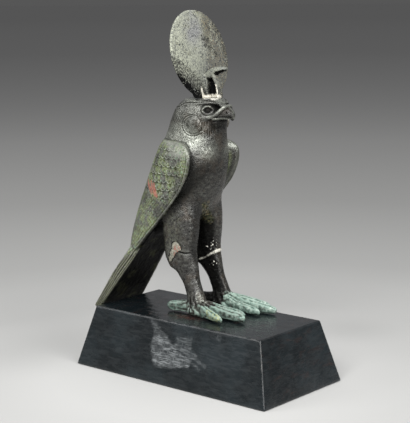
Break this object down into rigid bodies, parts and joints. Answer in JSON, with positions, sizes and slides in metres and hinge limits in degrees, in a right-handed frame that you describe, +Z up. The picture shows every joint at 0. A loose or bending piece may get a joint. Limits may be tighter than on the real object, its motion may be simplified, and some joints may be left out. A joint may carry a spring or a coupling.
{
  "type": "horus falcon figure",
  "caption": "Standing bronze falcon with closed wings and a sun disc on its head, on a black wooden plinth.",
  "frame": {"origin": "middle of the plinth's underside", "axes": "+Z up, -Y the way the falcon faces, +X towards the falcon's left side"},
  "size_m": [0.0808, 0.1598, 0.2353],
  "materials": {
    "black_lacquer": "black lacquered wood, semi-gloss, worn at the edges",
    "bronze": "old cast bronze, brown-black with green patina on the wings and feet",
    "disc_bronze": "thin bronze sheet, matt pale grey-green patina with brown patches"
  },
  "bodies": {
    "root": {"plinth": "black_lacquer", "falcon": "bronze", "sun_disc": "disc_bronze"}
  },
  "joints": []
}
